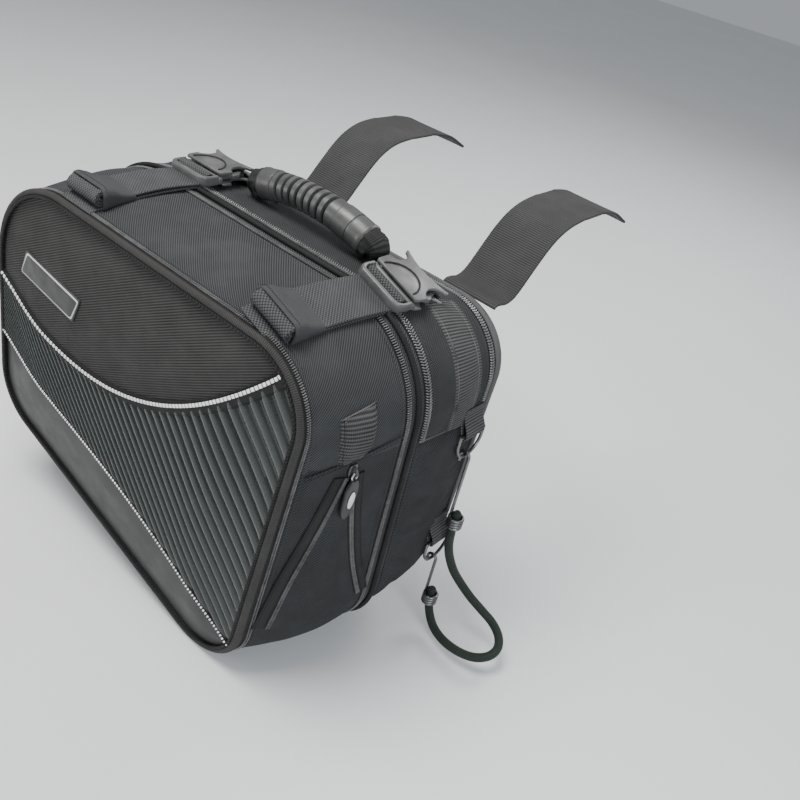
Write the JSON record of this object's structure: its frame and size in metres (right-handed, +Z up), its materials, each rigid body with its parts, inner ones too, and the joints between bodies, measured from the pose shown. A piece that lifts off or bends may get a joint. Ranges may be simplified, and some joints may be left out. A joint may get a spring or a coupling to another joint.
{
  "type": "motorcycle saddlebag",
  "caption": "Soft motorcycle saddlebag with zipped main and front compartments, expansion zip, carry handle, buckled straps and over-seat straps.",
  "frame": {"origin": "centre of the flat rear face of the back panel, which lies against the motorcycle's side", "axes": "+X towards the front of the motorcycle, -Y outwards away from it, +Z up"},
  "size_m": [0.5254, 0.4166, 0.3874],
  "materials": {
    "back_fabric": "dull woven backing",
    "binding": "smooth woven binding",
    "top_fabric": "matte woven nylon",
    "boot_twill": "coarse twill nylon",
    "zip_coil": "moulded nylon coil",
    "zip_tape": "smooth zip tape",
    "webbing": "ribbed webbing",
    "seat_webbing": "wide ribbed webbing",
    "buckle_plastic": "moulded acetal",
    "zip_metal": "dark enamel",
    "handle_cloth": "dark stretch cloth",
    "grip_rubber": "satin moulded rubber",
    "steel_wire": "blackened steel wire",
    "elastic_cord": "braided sleeve",
    "inset_plastic": "pale oval",
    "board": "stiffener board",
    "front_fabric": "fine ribbed nylon",
    "ribbed_pvc": "glossy ribbed sheet",
    "front_leather": "grained synthetic leather",
    "reflective": "reflective piping",
    "badge_rubber": "soft moulded badge, blank"
  },
  "bodies": {
    "back_shell": {"back_panel": "back_fabric", "back_binding": "binding", "rear_gusset": "top_fabric", "lower_boot": "boot_twill", "main_zip_inner": "zip_coil", "cover_zip": "zip_coil", "side_webbing": "webbing", "anchor_webbing": "webbing", "buckle_socket_front": "buckle_plastic", "buckle_socket_rear": "buckle_plastic", "handle_anchors": "webbing", "ring_tabs": "webbing", "seat_strap_front": "seat_webbing", "seat_strap_rear": "seat_webbing", "main_zip_slider": "zip_metal"},
    "handle": {"handle_strap": "handle_cloth", "handle_grip": "grip_rubber", "handle_collars": "grip_rubber"},
    "upper_ring": {"d_ring_upper": "steel_wire"},
    "lower_ring": {"d_ring_lower": "steel_wire"},
    "bungee": {"bungee_hooks": "steel_wire", "bungee_cord": "elastic_cord"},
    "main_pull": {"main_zip_pull": "zip_metal"},
    "lid": {"mid_band": "zip_tape", "mid_piping": "binding", "main_zip_outer": "zip_coil", "expansion_zip_inner": "zip_coil"},
    "expansion_slider": {"expansion_slider": "zip_metal"},
    "expansion_pull": {"expansion_pull": "zip_metal"},
    "outer_shell": {"expansion_bellows": "boot_twill", "expansion_zip_outer": "zip_coil", "outer_gusset": "top_fabric", "pocket_wall": "back_fabric", "front_zip_inner": "zip_coil", "front_zip_slider": "zip_metal", "compression_straps": "webbing", "strap_keepers": "binding", "side_tab": "webbing", "side_zips": "zip_coil", "side_bellows": "zip_tape", "side_slider": "zip_metal"},
    "front_pull": {"front_zip_pull": "zip_metal"},
    "side_pull": {"side_puller": "grip_rubber", "puller_inset": "inset_plastic"},
    "plug_front": {"buckle_plug_front": "buckle_plastic"},
    "plug_rear": {"buckle_plug_rear": "buckle_plastic"},
    "squeeze_front_a": {"arm_front_a": "buckle_plastic"},
    "squeeze_front_b": {"arm_front_b": "buckle_plastic"},
    "squeeze_rear_a": {"arm_rear_a": "buckle_plastic"},
    "squeeze_rear_b": {"arm_rear_b": "buckle_plastic"},
    "front_panel": {"front_board": "board", "front_upper": "front_fabric", "front_ribbed": "ribbed_pvc", "front_lower": "front_leather", "front_piping": "binding", "front_zip_outer": "zip_coil", "reflective_lines": "reflective", "badge": "badge_rubber"}
  },
  "joints": [
    {"name": "main_opening", "type": "hinge", "parent": "back_shell", "child": "lid", "pos_m": [0, -0.0886, -0.178], "axis": [1, 0, 0], "range_deg": [0, 12]},
    {"name": "expansion", "type": "slide", "parent": "lid", "child": "outer_shell", "axis": [0, -1, 0], "range_m": [0, 0.04], "deforming": ["expansion_bellows"]},
    {"name": "front_panel_hinge", "type": "hinge", "parent": "outer_shell", "child": "front_panel", "pos_m": [-0.19752, -0.2005, 0], "axis": [-0.0385, 0, -0.9993], "range_deg": [0, 70]},
    {"name": "handle_swing", "type": "hinge", "parent": "back_shell", "child": "handle", "pos_m": [0.029, -0.05, 0.156], "axis": [1, 0, 0], "range_deg": [-25, 25]},
    {"name": "upper_ring_swing", "type": "hinge", "parent": "back_shell", "child": "upper_ring", "pos_m": [0.2195, -0.023, 0.045], "axis": [0, 1, 0], "range_deg": [-1.5, 1.5]},
    {"name": "lower_ring_swing", "type": "hinge", "parent": "back_shell", "child": "lower_ring", "pos_m": [0.2195, -0.023, -0.078], "axis": [0, 1, 0], "range_deg": [-1.5, 1.5]},
    {"name": "bungee_swing", "type": "hinge", "parent": "back_shell", "child": "bungee", "pos_m": [0.2195, -0.023, 0], "axis": [0, 0, 1], "range_deg": [-12, 12]},
    {"name": "main_pull_swing", "type": "hinge", "parent": "back_shell", "child": "main_pull", "pos_m": [-0.20849, -0.0848, 0.062], "axis": [0, 1, 0], "range_deg": [0, 150]},
    {"name": "expansion_slider_travel", "type": "slide", "parent": "lid", "child": "expansion_slider", "axis": [-0.0296, 0, -0.9996], "range_m": [0, 0.06]},
    {"name": "expansion_pull_swing", "type": "hinge", "parent": "expansion_slider", "child": "expansion_pull", "pos_m": [-0.20792, -0.1055, 0.035], "axis": [0, 1, 0], "range_deg": [0, 150]},
    {"name": "front_pull_swing", "type": "hinge", "parent": "outer_shell", "child": "front_pull", "pos_m": [-0.19133, -0.1986, 0.0983], "axis": [0, 1, 0], "range_deg": [0, 150]},
    {"name": "side_pull_swing", "type": "hinge", "parent": "outer_shell", "child": "side_pull", "pos_m": [0.20312, -0.154, 0.052], "axis": [0, -1, 0], "range_deg": [0, 120]},
    {"name": "front_strap_adjust", "type": "slide", "parent": "outer_shell", "child": "plug_front", "axis": [0, 1, 0], "range_m": [0, 0.04]},
    {"name": "front_arm_a_squeeze", "type": "hinge", "parent": "plug_front", "child": "squeeze_front_a", "pos_m": [0.11163, -0.074, 0.16567], "axis": [-0.0857, 0, -0.9963], "range_deg": [0, 6], "stiffness_Nm_per_rad": 0.05},
    {"name": "front_arm_b_squeeze", "type": "hinge", "parent": "plug_front", "child": "squeeze_front_b", "pos_m": [0.15348, -0.074, 0.16207], "axis": [0.0857, 0, 0.9963], "range_deg": [0, 6], "stiffness_Nm_per_rad": 0.05},
    {"name": "rear_strap_adjust", "type": "slide", "parent": "outer_shell", "child": "plug_rear", "axis": [0, 1, 0], "range_m": [0, 0.04]},
    {"name": "rear_arm_a_squeeze", "type": "hinge", "parent": "plug_rear", "child": "squeeze_rear_a", "pos_m": [-0.10701, -0.074, 0.16359], "axis": [0.0016, 0, -1], "range_deg": [0, 6], "stiffness_Nm_per_rad": 0.05},
    {"name": "rear_arm_b_squeeze", "type": "hinge", "parent": "plug_rear", "child": "squeeze_rear_b", "pos_m": [-0.06501, -0.074, 0.16365], "axis": [-0.0016, 0, 1], "range_deg": [0, 6], "stiffness_Nm_per_rad": 0.05}
  ],
  "couplings": [
    {"joint": "front_strap_adjust", "follows": "expansion", "ratio": 1},
    {"joint": "rear_strap_adjust", "follows": "expansion", "ratio": 1},
    {"joint": "front_arm_b_squeeze", "follows": "front_arm_a_squeeze", "ratio": 1},
    {"joint": "rear_arm_b_squeeze", "follows": "rear_arm_a_squeeze", "ratio": 1}
  ]
}
